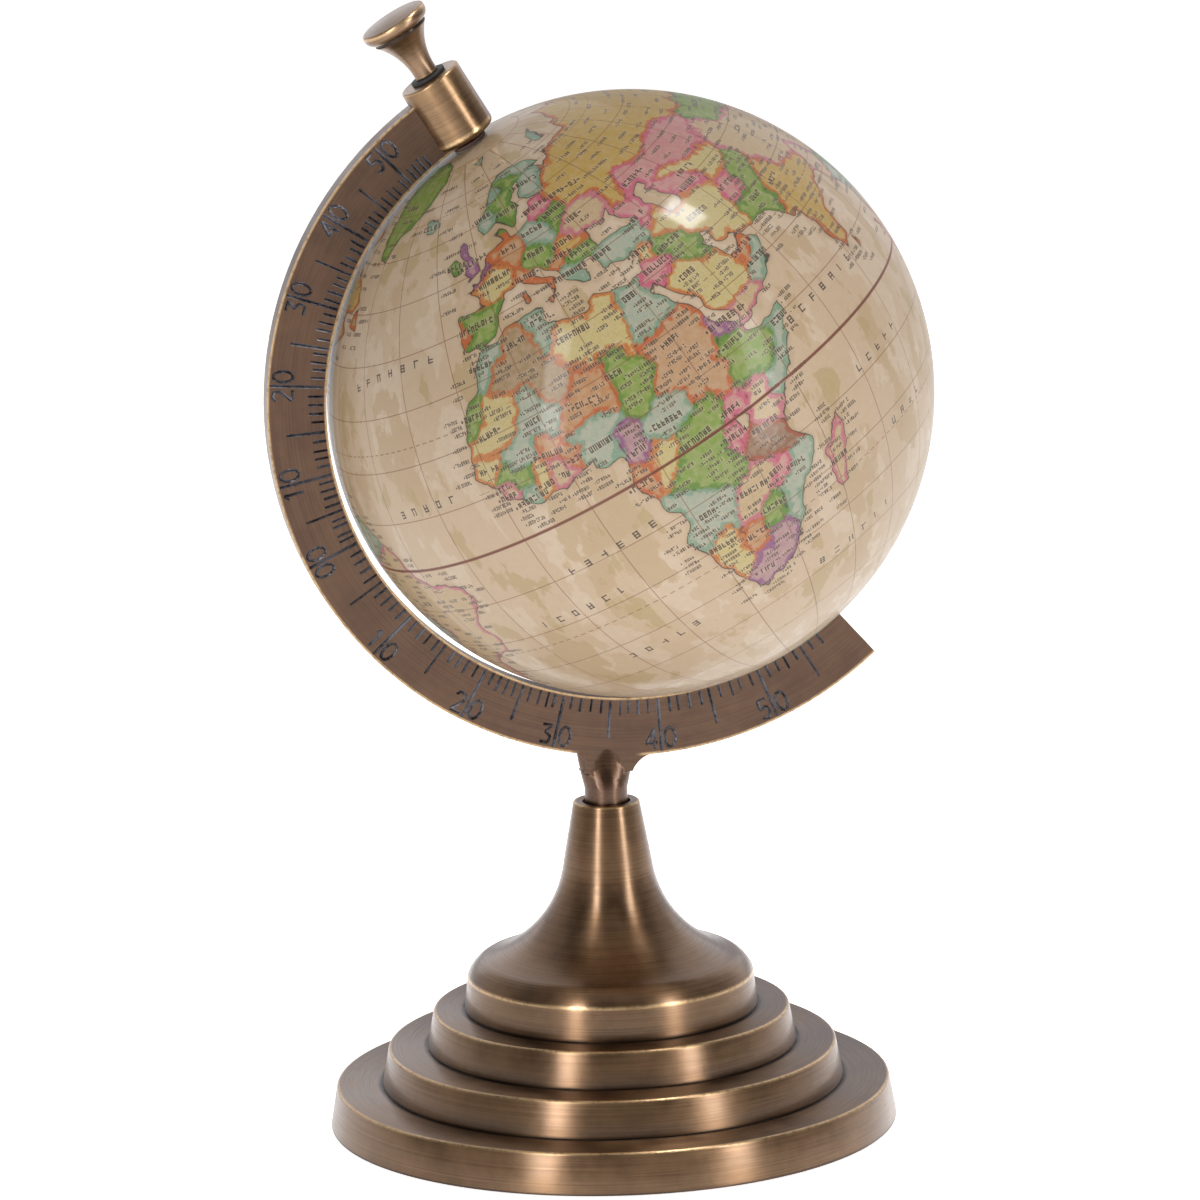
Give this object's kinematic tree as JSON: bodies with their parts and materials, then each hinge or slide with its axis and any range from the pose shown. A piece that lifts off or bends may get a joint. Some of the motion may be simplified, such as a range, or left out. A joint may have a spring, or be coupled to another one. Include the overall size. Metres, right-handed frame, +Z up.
{
  "type": "desktop globe on stand",
  "caption": "Terrestrial desk globe that spins on a tilted axis in a flat C-shaped brass arm, on a flared column and stacked round foot.",
  "frame": {"origin": "centre of the underside of the base pad, on the column axis", "axes": "+Z up along the column; the arm lies in the XZ plane with its numbered face towards -Y; +X towards the arm's free lower end"},
  "size_m": [0.1683, 0.152, 0.2888],
  "materials": {
    "antique_brass": "antique bronzed, brushed and lacquered",
    "printed_map": "printed map under clear gloss",
    "shell_plastic": "moulded, unpainted",
    "nylon": "natural nylon",
    "dark_fibre": "dark fibre, matte",
    "steel": "zinc plated",
    "felt": "dark green felt"
  },
  "bodies": {
    "stand": {"base_pad": "felt", "foot_disc": "antique_brass", "middle_disc": "antique_brass", "upper_disc": "antique_brass", "trumpet_column": "antique_brass", "column_washer": "steel"},
    "arm": {"meridian_arm": "antique_brass", "tie_stud": "steel", "spring_washer": "steel", "stud_nut": "steel", "south_pin": "steel", "north_washer": "nylon", "south_washer": "nylon"},
    "ball": {"northern_shell": "printed_map", "southern_shell": "printed_map", "seam_ring": "shell_plastic", "north_bush": "nylon", "south_bush": "nylon"},
    "lifting_washer": {"knob_washer": "dark_fibre"},
    "axis_screw": {"axis_screw": "antique_brass"}
  },
  "joints": [
    {"name": "arm_swivel", "type": "hinge", "parent": "stand", "child": "arm", "pos_m": [0, 0, 0.072], "axis": [0, 0, 1], "continuous": true},
    {"name": "ball_spin", "type": "hinge", "parent": "arm", "child": "ball", "pos_m": [0.0087, 0, 0.1875], "axis": [-0.5105, 0, 0.8599], "continuous": true},
    {"name": "screw_lift", "type": "slide", "parent": "arm", "child": "lifting_washer", "axis": [-0.5105, 0, 0.8599], "range_m": [0, 0.0048]},
    {"name": "knob_turn", "type": "hinge", "parent": "lifting_washer", "child": "axis_screw", "pos_m": [0.0087, 0, 0.1875], "axis": [-0.5105, 0, 0.8599], "range_deg": [0, 2160]}
  ],
  "couplings": [
    {"joint": "knob_turn", "follows": "screw_lift", "rad_per_m": 7854}
  ]
}
